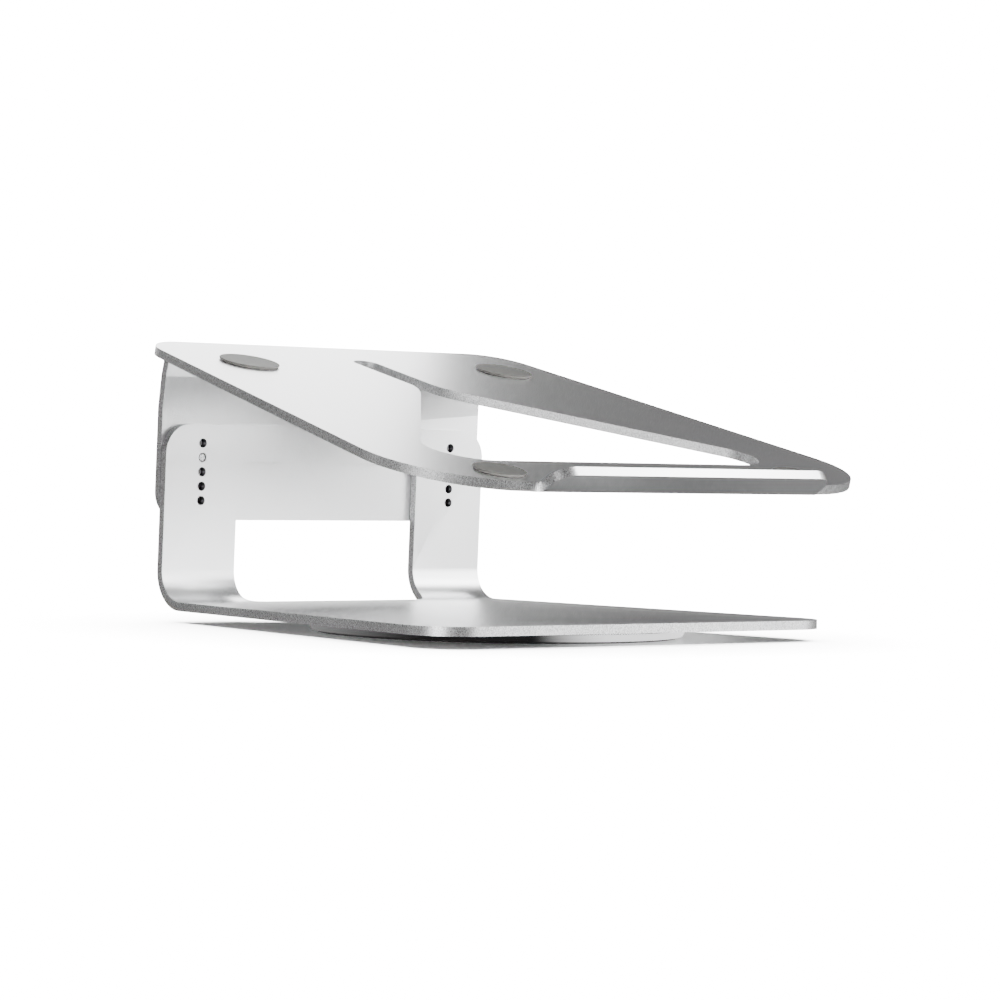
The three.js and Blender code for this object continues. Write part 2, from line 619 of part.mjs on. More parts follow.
// Fills the inside corner between the panel's front face and the underside of the plate.
function panelFillet() {
  const buried = PANEL_RISE * SHEET;
  const corner = onPanelArc(panelEnd - buried / PANEL_BEND_RADIUS);
  const under = [corner[0] + slope[0] * PANEL_FILLET, corner[1] + slope[1] * PANEL_FILLET];
  const down = onPanelArc(panelEnd - (buried + PANEL_FILLET) / PANEL_BEND_RADIUS);
  const points = [under, corner, down].map(([y, z]) => new THREE.Vector2(y, z));
  const curve = new THREE.QuadraticBezierCurve(...points).getPoints(5).map((p) => [p.x, p.y]);
  const depth = SHEET / 4;
  const inside = [
    [down[0] + depth, down[1]], [corner[0] + depth, corner[1] + depth], [under[0], under[1] + depth],
  ];
  return solid(carriedAcross([...curve, ...inside], PANEL_TOP_HALF - depth));
}

function tray() {
  const plate = solid(toTray(raised(trayOutline(), -SHEET, 0)));
  const opening = solid(toTray(raised(cutOutline(), -SHEET - PAST, PAST)));
  return geometryOf(cut(join(plate, trayLip(), rearPanel(), panelFillet()), opening));
}

function restPad(x, s, radius) {
  const pad = ring(0, radius, PAD_LIFT, PAD_LIFT + REST_PAD_HEIGHT, 40);
  return toTray(pad.translate(x, -s, 0));
}

// ---------- materials and assembly ----------

const finish = (name, color, roughness, metalness) => () =>
  new THREE.MeshStandardMaterial({ name, color, roughness, metalness });
const satinAluminium = finish("satin aluminium", 0xc8cacb, 0.35, 0.9);
const turnedAluminium = finish("turned aluminium", 0xb4b6b8, 0.3, 0.9);
const steel = finish("steel", 0x9c9fa3, 0.3, 1);
const brass = finish("cage brass", 0xb59a55, 0.35, 1);
const greySilicone = finish("grey silicone", 0xa9a9a0, 0.8, 0);
const blackRubber = finish("black rubber", 0x1c1c1d, 0.9, 0);

const stand = new THREE.Group();

function add(name, geometry, material) {
  const mesh = new THREE.Mesh(geometry, material());
  mesh.name = name;
  stand.add(mesh);
}

add("floor_pad", floorPad(), blackRubber);
add("turntable_disc", baseDisc(), turnedAluminium);
add("lower_race", lowerRace(), steel);
add("ball_cage", ballCage(), brass);
for (let i = 0; i < BALL_COUNT; i += 1) add(`bearing_ball_${i + 1}`, bearingBall(i), steel);
add("upper_race", upperRace(), steel);
for (const [i, [x, y]] of raceScrewPlaces.entries()) {
  add(`race_screw_${i + 1}`, countersunk(x, y, raceFace, screwTop), steel);
}
add("swivel_hub", swivelHub(), steel);
for (const [i, [x, y]] of hubScrewPlaces.entries()) {
  add(`hub_screw_${i + 1}`, countersunk(x, y, HUB_BOTTOM, screwTop), steel);
}
add("pivot_screw", pivotScrew(), steel);
add("base_bracket", baseBracket(), satinAluminium);
for (const [side, word] of [[-1, "left"], [1, "right"]]) {
  add(`height_screw_${word}`, heightScrew(side), steel);
  add(`flat_washer_${word}`, flatWasher(side), steel);
  add(`spring_washer_${word}`, springWasher(side), steel);
}
add("tray", tray(), satinAluminium);
for (const [side, word] of [[-1, "left"], [1, "right"]]) {
  add(`rest_pad_rear_${word}`, restPad(side * REAR_PAD_X, REAR_PAD_S, REAR_PAD_RADIUS), greySilicone);
  add(`rest_pad_front_${word}`, restPad(side * FRONT_PAD_X, FRONT_PAD_S, FRONT_PAD_RADIUS), greySilicone);
}

export default stand;
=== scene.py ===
# %% [markdown]
# # A swivel laptop stand
# A sloped tray of bent aluminium sheet is screwed to a bent base bracket, and the bracket turns on
# a low disc with a ball bearing inside. This notebook dresses the measured model: it rounds the
# edges, cuts the threads, and gives each piece the finish of the real one.
# The measured model is loaded first. It gives every piece its place and its moving body.

# %% Load the measured model
import math

import bmesh
import bpy
import numpy as np
from mathutils import Matrix, Vector


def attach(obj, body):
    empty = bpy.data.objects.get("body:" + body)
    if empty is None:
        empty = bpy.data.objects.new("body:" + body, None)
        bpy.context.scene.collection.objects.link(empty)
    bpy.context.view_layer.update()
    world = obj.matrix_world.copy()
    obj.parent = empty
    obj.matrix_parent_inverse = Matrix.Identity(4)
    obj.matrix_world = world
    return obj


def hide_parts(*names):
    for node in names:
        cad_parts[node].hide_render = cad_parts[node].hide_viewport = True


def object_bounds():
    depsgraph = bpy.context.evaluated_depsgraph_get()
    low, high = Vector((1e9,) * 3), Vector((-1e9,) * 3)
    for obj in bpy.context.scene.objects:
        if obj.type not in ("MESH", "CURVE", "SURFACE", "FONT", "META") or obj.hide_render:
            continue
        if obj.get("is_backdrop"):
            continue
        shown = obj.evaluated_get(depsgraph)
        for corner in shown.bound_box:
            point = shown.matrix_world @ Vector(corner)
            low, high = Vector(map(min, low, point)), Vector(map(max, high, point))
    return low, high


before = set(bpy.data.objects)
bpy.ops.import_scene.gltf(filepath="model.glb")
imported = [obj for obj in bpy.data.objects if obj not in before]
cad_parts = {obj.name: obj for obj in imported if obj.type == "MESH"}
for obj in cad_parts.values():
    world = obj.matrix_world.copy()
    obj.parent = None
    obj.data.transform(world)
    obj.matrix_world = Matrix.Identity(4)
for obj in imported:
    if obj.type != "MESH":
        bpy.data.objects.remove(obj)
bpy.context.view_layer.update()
MM = 0.001

# %% [markdown]
# ## Where things are
# The stand has a few planes that many pieces share: the tray's plane, which slopes down to the
# front, and the upright's face, which leans a little forward. Each is a point and a set of
# directions, so that a piece can be worked out flat and then carried into place.

# %% Shared planes
TILT = math.radians(13.3)
LEAN = math.radians(1.8)
SHEET = 4 * MM
BEND_START_Y, BASE_TOP_Z, BEND_RADIUS = 114.4 * MM, 9.5 * MM, 14.0 * MM

ACROSS = np.array([1.0, 0.0, 0.0])
TRAY_EDGE = np.array([0.0, 131.0, 127.9]) * MM
TRAY_UP = np.array([0.0, -math.sin(TILT), math.cos(TILT)])
DOWN_SLOPE = np.array([0.0, -math.cos(TILT), -math.sin(TILT)])
FACE_BACK = np.array([0.0, math.cos(LEAN), math.sin(LEAN)])
FACE_UP = np.array([0.0, -math.sin(LEAN), math.cos(LEAN)])
FACE_FOOT_Y = BEND_START_Y + BEND_RADIUS * math.cos(LEAN)
FACE_FOOT_Z = BASE_TOP_Z + BEND_RADIUS + BEND_RADIUS * math.sin(LEAN)


def on_face(x, z):
    """A point of the upright's front face: y falls by tan(lean) for each unit of height above the bend."""
    return np.array([x, FACE_FOOT_Y - math.tan(LEAN) * (z - FACE_FOOT_Z), z])


def on_tray(x, s):
    """A point of the tray's top face: x across, and s down the slope from the rear edge."""
    return TRAY_EDGE + x * ACROSS + s * DOWN_SLOPE


print("the upright starts at y, z in mm:", round(FACE_FOOT_Y / MM, 2), round(FACE_FOOT_Z / MM, 2))

# %% [markdown]
# ## Making a mesh from arrays
# Every new piece here is a grid of points worked out in one go. The grid closes round the piece,
# and a pole of one point can close each end. The helpers below turn such a grid into a mesh.

# %% Grid to mesh
SMOOTH_UNDER = math.radians(40)


def linked(name, data):
    """A new object that holds the data, linked into the scene."""
    thing = bpy.data.objects.new(name, data)
    bpy.context.scene.collection.objects.link(thing)
    return thing


def smooth_shaded(mesh, angle):
    """The mesh is shaded smooth, apart from edges sharper than the angle."""
    mesh.polygons.foreach_set("use_smooth", np.ones(len(mesh.polygons), bool))
    mesh.set_sharp_from_angle(angle=angle)


def grid_faces(rows, cols, close_rows=False):
    """Quads between neighbouring points of a grid whose columns close round, as index rows."""
    r = np.arange(rows if close_rows else rows - 1)[:, None]
    c = np.arange(cols)[None, :]
    here = r * cols
    there = ((r + 1) % rows) * cols
    right = (c + 1) % cols
    return np.stack([here + c, here + right, there + right, there + c], -1).reshape(-1, 4)


def mesh_piece(name, points, quads, fans=()):
    """A mesh object of points and quads, with fans of triangles from a ring to a pole."""
    faces = [tuple(q) for q in quads.tolist()]
    for ring, pole in fans:
        after = np.roll(ring, -1)
        faces += [tuple(t) for t in np.stack([ring, after, np.full_like(ring, pole)], -1).tolist()]
    mesh = bpy.data.meshes.new(name)
    mesh.from_pydata(points.tolist(), [], faces)
    work = bmesh.new()
    work.from_mesh(mesh)
    bmesh.ops.recalc_face_normals(work, faces=work.faces)
    work.to_mesh(mesh)
    work.free()
    smooth_shaded(mesh, SMOOTH_UNDER)
    return linked(name, mesh)


def turned_piece(name, radius, height, place, axis, around):
    """A closed solid of revolution about an axis through a place.

    Each row of radius and height is a ring: point = place + radius (cos a, sin a) across + height along.
    Radius may also be a grid, so that a ring can wave in and out. The first and last ring end in poles.
    """
    side = np.cross(axis, ACROSS)
    side /= np.linalg.norm(side)
    front = np.cross(side, axis)
    a = np.arange(around) * 2 * np.pi / around
    rows = len(height)
    radius = np.broadcast_to(np.asarray(radius, float).reshape(rows, -1), (rows, around))
    height = np.asarray(height, float)[:, None]
    forward = (radius * np.cos(a))[..., None] * front
    sideways = (radius * np.sin(a))[..., None] * side
    rings = (forward + sideways + height[..., None] * axis + place).reshape(-1, 3)
    poles = np.array([place + height[0, 0] * axis, place + height[-1, 0] * axis])
    first = np.arange(around)
    fans = [(first[::-1], rows * around), ((rows - 1) * around + first, rows * around + 1)]
    return mesh_piece(name, np.vstack([rings, poles]), grid_faces(rows, around), fans)


def stands_for(piece, node, body):
    """The piece is shown in place of a measured node, and moves with that node's body."""
    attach(piece, body)
    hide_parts(node)


print("quads between three rings of eight points:", len(grid_faces(3, 8)))

# %% [markdown]
# ## Nodes by hand
# A finish is a small sum over a place on the piece, made of nodes. Each helper below adds one
# node and links it, so that a group reads like its formula.

# %% Small node helpers
FLOAT, VECTOR = "NodeSocketFloat", "NodeSocketVector"


def new_group(name, inputs, outputs):
    """An empty shader group with named float inputs, each with its default, and named outputs."""
    group = bpy.data.node_groups.new(name, "ShaderNodeTree")
    for label, default in inputs.items():
        socket = group.interface.new_socket(label, in_out="INPUT", socket_type=FLOAT)
        socket.default_value = default
    for label, kind in outputs.items():
        group.interface.new_socket(label, in_out="OUTPUT", socket_type=kind)
    return group, group.nodes.new("NodeGroupInput"), group.nodes.new("NodeGroupOutput")


def math_node(tree, operation, a, b=None):
    """A Math node on two values, each a socket or a number."""
    node = tree.nodes.new("ShaderNodeMath")
    node.operation = operation
    for socket, value in zip(node.inputs, (a, b)):
        if isinstance(value, (int, float)):
            socket.default_value = value
        elif value is not None:
            tree.links.new(value, socket)
    return node.outputs[0]


def times(tree, a, b):
    """The product a b."""
    return math_node(tree, "MULTIPLY", a, b)


def plus(tree, a, b):
    """The sum a + b."""
    return math_node(tree, "ADD", a, b)


def length_of(tree, vector):
    """The length of a vector."""
    node = tree.nodes.new("ShaderNodeVectorMath")
    node.operation = "LENGTH"
    tree.links.new(vector, node.inputs[0])
    return node.outputs["Value"]


def noise(tree, scale, detail, place):
    """Noise over a place, in cycles per metre. The scale is a number or a socket."""
    node = tree.nodes.new("ShaderNodeTexNoise")
    if isinstance(scale, float):
        node.inputs["Scale"].default_value = scale
    else:
        tree.links.new(scale, node.inputs["Scale"])
    node.inputs["Detail"].default_value = detail
    tree.links.new(place, node.inputs["Vector"])
    return node.outputs[0]


def object_place(tree):
    """Object coordinates, in metres."""
    return tree.nodes.new("ShaderNodeTexCoord").outputs["Object"]


def bump(tree, height, strength, distance):
    """A Bump node: the height's dents are at most the distance deep."""
    node = tree.nodes.new("ShaderNodeBump")
    node.inputs["Distance"].default_value = distance
    tree.links.new(height, node.inputs["Height"])
    tree.links.new(strength, node.inputs["Strength"])
    return node.outputs["Normal"]


print("kinds of socket:", FLOAT, VECTOR)

# %% [markdown]
# ## Effects of the finishes
# Blasted and anodised aluminium isn't a mirror: glass beads have left dents a few tenths of a
# millimetre wide, so the gloss is broken into a fine grain. A turned face has rings. Rubber has a
# duller grain. Each effect is one node group, and each material places it with its own values.

# %% Grain and rings
FINISH = {"Shade": FLOAT, "Roughness": FLOAT, "Normal": VECTOR}
NOISE_MEAN, FINE_SHARE, FINE_DETAIL = 0.5, 0.8, 2.0
CLOUDS, CLOUD_DETAIL = 23.0, 3.0
DENT_DEPTH, RING_DEPTH = 0.05 * MM, 0.02 * MM
WOBBLES, WOBBLE_DETAIL, WOBBLE, RING_ROUGHNESS = 300.0, 2.0, 0.6, 0.03


def put_out(tree, out, shade, rough, normal):
    """Links a finish's three results to its group's outputs."""
    for label, value in zip(FINISH, (shade, rough, normal)):
        tree.links.new(value, out.inputs[label])


def grain_group():
    """Dents of blasting: shade = 1 + spread (0.8 fine + 0.2 cloudy - mean), and roughness likewise."""
    inputs = {"Grain": 1700.0, "Shade Spread": 0.06, "Roughness": 0.36,
              "Roughness Spread": 0.08, "Depth": 0.25}
    tree, given, out = new_group("blasted_grain", inputs, FINISH)
    place = object_place(tree)
    fine = noise(tree, given.outputs["Grain"], FINE_DETAIL, place)
    cloudy = noise(tree, CLOUDS, CLOUD_DETAIL, place)
    both = plus(tree, times(tree, fine, FINE_SHARE), times(tree, cloudy, 1 - FINE_SHARE))
    off = math_node(tree, "SUBTRACT", both, NOISE_MEAN)
    shade = plus(tree, times(tree, off, given.outputs["Shade Spread"]), 1.0)
    rough = plus(tree, times(tree, off, given.outputs["Roughness Spread"]), given.outputs["Roughness"])
    put_out(tree, out, shade, rough, bump(tree, fine, given.outputs["Depth"], DENT_DEPTH))
    return tree


def rings_group():
    """Turning marks: sin(2 pi r / pitch) over the distance r from the swivel axis."""
    inputs = {"Pitch": 0.6 * MM, "Shade Spread": 0.05, "Roughness": 0.28, "Depth": 0.3}
    tree, given, out = new_group("turning_marks", inputs, FINISH)
    place = object_place(tree)
    flat = tree.nodes.new("ShaderNodeVectorMath")
    flat.operation = "MULTIPLY"
    flat.inputs[1].default_value = (1.0, 1.0, 0.0)
    tree.links.new(place, flat.inputs[0])
    turns = math_node(tree, "DIVIDE", length_of(tree, flat.outputs[0]), given.outputs["Pitch"])
    wobble = times(tree, noise(tree, WOBBLES, WOBBLE_DETAIL, place), WOBBLE)
    wave = math_node(tree, "SINE", times(tree, plus(tree, turns, wobble), 2 * math.pi))
    shade = plus(tree, times(tree, wave, given.outputs["Shade Spread"]), 1.0)
    rough = plus(tree, times(tree, wave, RING_ROUGHNESS), given.outputs["Roughness"])
    put_out(tree, out, shade, rough, bump(tree, wave, given.outputs["Depth"], RING_DEPTH))
    return tree


GRAIN = grain_group()
RINGS = rings_group()
print("groups:", GRAIN.name, RINGS.name)

# %% [markdown]
# ## Materials
# The sheet is one material with two finishes: fine blasting on its faces, and a coarser sparkle on
# the sawn edges, chosen by an attribute of the face. Every other piece has a single finish, so one
# short function makes them all from a colour, an effect and its values.


# %% Materials
def started(name):
    """A new Principled material, its node tree and its shader."""
    material = bpy.data.materials.new(name)
    material.use_nodes = True
    return material, material.node_tree, material.node_tree.nodes["Principled BSDF"]


def placed(tree, group, values):
    """A group node with its own input values."""
    node = tree.nodes.new("ShaderNodeGroup")
    node.node_tree = group
    for label, value in values.items():
        node.inputs[label].default_value = value
    return node


def tinted(tree, color, shade):
    """A colour times a shade near 1."""
    node = tree.nodes.new("ShaderNodeMix")
    node.data_type = "RGBA"
    node.blend_type = "MULTIPLY"
    node.inputs["Factor"].default_value = 1.0
    sockets = [s for s in node.inputs if s.type == "RGBA"]
    sockets[0].default_value = (*color, 1.0)
    grey = tree.nodes.new("ShaderNodeCombineColor")
    for socket in grey.inputs:
        tree.links.new(shade, socket)
    tree.links.new(grey.outputs[0], sockets[1])
    return next(s for s in node.outputs if s.type == "RGBA")


def finish_material(name, color, group, values, metallic):
    """A Principled material with one effect group on its colour, roughness and normal."""
    material, tree, shader = started(name)
    effect = placed(tree, group, values)
    tree.links.new(tinted(tree, color, effect.outputs["Shade"]), shader.inputs["Base Color"])
    tree.links.new(effect.outputs["Roughness"], shader.inputs["Roughness"])
    tree.links.new(effect.outputs["Normal"], shader.inputs["Normal"])
    shader.inputs["Metallic"].default_value = metallic
    return material


def mixed(tree, factor, a, b):
    """A value that is a where the factor is 0 and b where it is 1."""
    return plus(tree, a, times(tree, math_node(tree, "SUBTRACT", b, a), factor))


def mixed_vectors(tree, factor, a, b):
    """A vector that is a where the factor is 0 and b where it is 1."""
    node = tree.nodes.new("ShaderNodeMix")
    node.data_type = "VECTOR"
    tree.links.new(factor, node.inputs["Factor"])
    for socket, value in zip([s for s in node.inputs if s.type == "VECTOR"], (a, b)):
        tree.links.new(value, socket)
    return next(s for s in node.outputs if s.type == "VECTOR")


ALUMINIUM, CUT_DULLING = (0.80, 0.805, 0.81), 0.84
BLASTED = {"Grain": 2100.0, "Shade Spread": 0.05, "Roughness": 0.34, "Roughness Spread": 0.06, "Depth": 0.2}
SAWN = {"Grain": 1900.0, "Shade Spread": 2.3, "Roughness": 0.4, "Roughness Spread": 0.3, "Depth": 0.8}


def sheet_material():
    """Satin sheet: fine blasting on its faces, and a coarser sparkle where the cut_edge attribute is 1."""
    material, tree, shader = started("satin_sheet")
    face = placed(tree, GRAIN, BLASTED)
    cut = placed(tree, GRAIN, SAWN)
    edge = tree.nodes.new("ShaderNodeAttribute")
    edge.attribute_name = "cut_edge"
    factor = edge.outputs["Fac"]
    cut_shade = times(tree, cut.outputs["Shade"], CUT_DULLING)
    shade = mixed(tree, factor, face.outputs["Shade"], cut_shade)
    rough = mixed(tree, factor, face.outputs["Roughness"], cut.outputs["Roughness"])
    normal = mixed_vectors(tree, factor, face.outputs["Normal"], cut.outputs["Normal"])
    tree.links.new(tinted(tree, ALUMINIUM, shade), shader.inputs["Base Color"])
    tree.links.new(rough, shader.inputs["Roughness"])
    tree.links.new(normal, shader.inputs["Normal"])
    shader.inputs["Metallic"].default_value = 1.0
    return material


SATIN = sheet_material()
TURNED = finish_material("turned_aluminium", (0.72, 0.725, 0.73), RINGS,
                         {"Roughness": 0.2, "Shade Spread": 0.02, "Depth": 0.04}, 1.0)
RACE = finish_material("race_steel", (0.6, 0.61, 0.63), RINGS, {"Pitch": 0.3 * MM, "Roughness": 0.2}, 1.0)
SCREW = finish_material("screw_steel", (0.66, 0.665, 0.67), GRAIN,
                        {"Grain": 3000.0, "Roughness": 0.26, "Shade Spread": 0.1, "Depth": 0.1}, 1.0)
# Near black: painted shade for the hole sleeves and for the gap behind each screw's end.
PAINTED_HOLE_SHADE = finish_material("painted_shade_in_holes", (0.10, 0.10, 0.105), GRAIN,
                         {"Grain": 3000.0, "Roughness": 0.4, "Shade Spread": 0.2, "Depth": 0.1}, 1.0)
BALL = finish_material("ball_steel", (0.7, 0.71, 0.72), GRAIN,
                       {"Grain": 4000.0, "Roughness": 0.1, "Roughness Spread": 0.02, "Depth": 0.02}, 1.0)
BRASS = finish_material("cage_brass", (0.72, 0.56, 0.27), GRAIN,
                        {"Grain": 2500.0, "Roughness": 0.3, "Depth": 0.1}, 1.0)
SILICONE = finish_material("grey_silicone", (0.082, 0.081, 0.075), GRAIN,
                           {"Grain": 2600.0, "Roughness": 0.6, "Shade Spread": 0.16, "Depth": 0.35}, 0.0)
RUBBER = finish_material("black_rubber", (0.03, 0.03, 0.032), GRAIN,
                         {"Grain": 1500.0, "Roughness": 0.75, "Shade Spread": 0.4, "Depth": 0.5}, 0.0)
print("materials:", [m.name for m in bpy.data.materials])

# %% [markdown]
# ## Edges that are not quite sharp
# Real sheet has its sharp edges broken by a small bevel, which catches the light as a thin line.
# The pieces below are copies of the measured solids, with their triangles joined into whole
# faces, so that a Bevel modifier finds only the true edges.

# %% Rounded copies
MERGE_WITHIN, FLAT_WITHIN, CREASE = 0.002 * MM, math.radians(0.4), math.radians(30)


def rounded_copy(node, bevel, segments=2):
    """A copy of a measured node, its flat faces joined, with a bevel on every edge over 30 degrees."""
    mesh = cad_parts[node].data.copy()
    mesh.name = node + "_finished"
    work = bmesh.new()
    work.from_mesh(mesh)
    bmesh.ops.remove_doubles(work, verts=work.verts, dist=MERGE_WITHIN)
    bmesh.ops.dissolve_limit(work, angle_limit=FLAT_WITHIN, verts=work.verts, edges=work.edges)
    work.to_mesh(mesh)
    work.free()
    smooth_shaded(mesh, CREASE)
    piece = linked(node + "_finished", mesh)
    edges = piece.modifiers.new("edges", "BEVEL")
    edges.width = bevel
    edges.segments = segments
    edges.limit_method = "ANGLE"
    edges.angle_limit = CREASE
    edges.harden_normals = True
    return piece


def face_arrays(mesh):
    """The faces' normals and centres as arrays of rows."""
    normals = np.empty(3 * len(mesh.polygons))
    centres = np.empty_like(normals)
    mesh.polygons.foreach_get("normal", normals)
    mesh.polygons.foreach_get("center", centres)
    return normals.reshape(-1, 3), centres.reshape(-1, 3)


def dress(piece, material):
    """The piece takes one material on its only slot."""
    piece.data.materials.clear()
    piece.data.materials.append(material)


print("a crease is over", round(math.degrees(CREASE)), "degrees")

# %% [markdown]
# ## The two sheet pieces
# The tray and the bracket were sawn from blasted plate, so their edges are rougher than their
# faces. A cut_edge attribute marks the sawn faces: all that look sideways, the ends of the
# tray's cut-out, the foot of its rear panel, and the bracket's front and level edges. The lip's
# tip isn't marked, because it is as smooth as the faces.

# %% Tray and bracket
SHEET_BEVEL, NEAR_FACE = 0.55 * MM, 0.1 * MM
PANEL_FOOT_UNDER, BASE_UNDER = 60 * MM, 10 * MM
SIDEWAYS, SQUARE = 0.15, 0.985


def mark_cut_edges(mesh, marked):
    """Stores 1 on the marked faces and 0 on the others, as the cut_edge attribute."""
    attribute = mesh.attributes.new("cut_edge", "FLOAT", "FACE")
    attribute.data.foreach_set("value", marked.astype(np.float32))


tray = rounded_copy("tray", SHEET_BEVEL)
normals, centres = face_arrays(tray.data)
depth = (centres - TRAY_EDGE) @ TRAY_UP
in_plate = (depth < NEAR_FACE) & (depth > -SHEET - NEAR_FACE)
across_slope = np.abs(normals @ DOWN_SLOPE) > SQUARE
foot = (normals[:, 2] < -SQUARE) & (centres[:, 2] < PANEL_FOOT_UNDER)
mark_cut_edges(tray.data, (np.abs(normals[:, 0]) > SIDEWAYS) | (in_plate & across_slope) | foot)
dress(tray, SATIN)
stands_for(tray, "tray", "tray_body")

bracket = rounded_copy("base_bracket", SHEET_BEVEL)
normals, centres = face_arrays(bracket.data)
low = centres[:, 2] < BASE_UNDER
front = low & (normals[:, 1] < -SQUARE)
level = (np.abs(normals @ FACE_UP) > SQUARE) & ~low
mark_cut_edges(bracket.data, (np.abs(normals[:, 0]) > SIDEWAYS) | front | level)
dress(bracket, SATIN)
stands_for(bracket, "base_bracket", "stand")
print("sheet faces:", len(tray.data.polygons), len(bracket.data.polygons))

# %% [markdown]
# ## The swivel and the small hardware
# The disc, the bearing's races and the hub are turned, and washers are stamped, so all of them
# have small even bevels. The balls, the cage and the hidden screws are round or tiny already, so
# they stay as measured and only take their material.

# %% Turned pieces and small hardware
for node, material, bevel, body, slot in (
    ("turntable_disc", TURNED, 0.2, "turntable", "turned_aluminium"),
    ("lower_race", RACE, 0.1, "turntable", "race_steel"),
    ("upper_race", RACE, 0.1, "stand", "race_steel"),
    ("swivel_hub", RACE, 0.15, "stand", "race_steel"),
    ("pivot_screw", SCREW, 0.15, "stand", "screw_steel"),
    ("flat_washer_left", SCREW, 0.12, "stand", "screw_steel"),
    ("flat_washer_right", SCREW, 0.12, "stand", "screw_steel"),
    ("spring_washer_left", SCREW, 0.12, "stand", "screw_steel"),
    ("spring_washer_right", SCREW, 0.12, "stand", "screw_steel"),
    ("floor_pad", RUBBER, 0.15, "turntable", "black_rubber"),
):
    piece = rounded_copy(node, bevel * MM, 1)
    dress(piece, material)
    stands_for(piece, node, body)

for node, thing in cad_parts.items():
    if node.startswith("bearing_ball"):
        dress(thing, BALL)
    elif node == "ball_cage":
        dress(thing, BRASS)
    elif node.startswith(("race_screw", "hub_screw")):
        dress(thing, SCREW)

# %% [markdown]
# ## The rest pads
# Each pad is a moulded silicone button: a slightly dished top with a small round shoulder, and a
# wall drawn in at the foot, so that a thin dark line shows where it is glued to the tray.
# Its section has a quarter circle at the rim, and is turned about the tray's upward direction.

# %% Rest pads
PAD_FOOT, PAD_TOP, PAD_SHOULDER = 0.1 * MM, 1.4 * MM, 0.35 * MM
PAD_DISH, PAD_UNDERCUT, PAD_MIDDLE = 0.12 * MM, 0.5 * MM, 0.4 * MM
PAD_PLACES = {"rear": (74.0, 42.7, 13.7), "front": (84.5, 239.4, 11.4)}  # across, down the slope, radius


def rest_pad(name, x, s, rim):
    """A turned button. The shoulder is a quarter circle of radius b: the radius is rim - b (1 - cos t)
    and the height is top - b (1 - sin t). The top dips by dish times 1 - (radius / rim) squared."""
    t = np.linspace(0, np.pi / 2, 9)
    shoulder_r = rim - PAD_SHOULDER * (1 - np.cos(t))
    shoulder_z = PAD_TOP - PAD_SHOULDER * (1 - np.sin(t))
    top_r = np.linspace(rim - PAD_SHOULDER, PAD_MIDDLE, 10)[1:]
    top_z = PAD_TOP - PAD_DISH * (1 - (top_r / rim) ** 2)
    radius = np.concatenate([[PAD_MIDDLE, rim - PAD_UNDERCUT], shoulder_r, top_r])
    height = np.concatenate([[PAD_FOOT, PAD_FOOT], shoulder_z, top_z])
    return turned_piece(name, radius, height, on_tray(x, s), TRAY_UP, 72)


for word, side in (("left", -1), ("right", 1)):
    for end, (x, s, rim) in PAD_PLACES.items():
        node = f"rest_pad_{end}_{word}"
        pad = rest_pad(node + "_moulded", side * x * MM, s * MM, rim * MM)
        dress(pad, SILICONE)
        stands_for(pad, node, "tray_body")
print("the front pads' centres are", PAD_PLACES["front"][1], "mm down the slope")

# %% [markdown]
# ## Threads
# The upright has five tapped holes a side. A tapped wall is a tube whose radius waves along a helix,
# coloured near black as a painted shade inside the hole. The used hole on each side holds the screw's end
# instead.

# %% Tapped holes
HOLE_X, HOLE_TOP_Z, HOLE_PITCH, HOLE_COUNT, USED_HOLE = 72.5 * MM, 81.8 * MM, 6.6 * MM, 5, 1
THREAD_PITCH, THREAD_DEPTH, HOLE_WALL = 0.7 * MM, 0.28 * MM, 2.14 * MM
SLEEVE_WALL, SHORT_BY, FADE_OVER = 0.03 * MM, 0.1 * MM, 0.4 * MM


def hole_place(side, index):
    """The middle of a hole on the upright's face, counted down from the top one."""
    return on_face(side * HOLE_X, HOLE_TOP_Z - index * HOLE_PITCH)


def helix_saw(z, a):
    """Falls from 1 to 0 and back once a pitch: |2 f - 1|, where f is the fraction of a turn in
    z / pitch - a / (2 pi)."""
    phase = z[:, None] / THREAD_PITCH - a[None, :] / (2 * np.pi)
    return np.abs(2 * (phase - np.floor(phase)) - 1)


def tapped_hole(name, place):
    """A closed sleeve: the outer wall is plain, and the inner radius is that wall less the sleeve's
    own and less depth (1 - saw), where the depth fades to nothing at both ends."""
    around, steps = 28, 34
    near, far = SHORT_BY, SHEET - SHORT_BY
    a = np.arange(around) * 2 * np.pi / around
    z_in = np.linspace(far, near, steps)
    fade = np.clip(np.minimum(z_in - near, far - z_in) / FADE_OVER, 0, 1)[:, None]
    inner = HOLE_WALL - SLEEVE_WALL - THREAD_DEPTH * (1 - helix_saw(z_in, a)) * fade
    radius = np.vstack([np.full((2, around), HOLE_WALL), inner])
    z = np.concatenate([[near, far], z_in])[:, None, None]
    spread = radius[..., None] * (np.cos(a)[:, None] * ACROSS + np.sin(a)[:, None] * FACE_UP)
    points = (place + spread + z * FACE_BACK).reshape(-1, 3)
    return mesh_piece(name, points, grid_faces(steps + 2, around, close_rows=True))


for word, side in (("left", -1), ("right", 1)):
    for i in range(HOLE_COUNT):
        if i == USED_HOLE:
            continue
        sleeve = tapped_hole(f"hole_thread_{word}_{i + 1}", hole_place(side, i))
        # The sleeve is coloured near black, a painted shade inside the hole.
        dress(sleeve, PAINTED_HOLE_SHADE)
        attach(sleeve, "stand")
print("tapped holes a side:", HOLE_COUNT - 1)
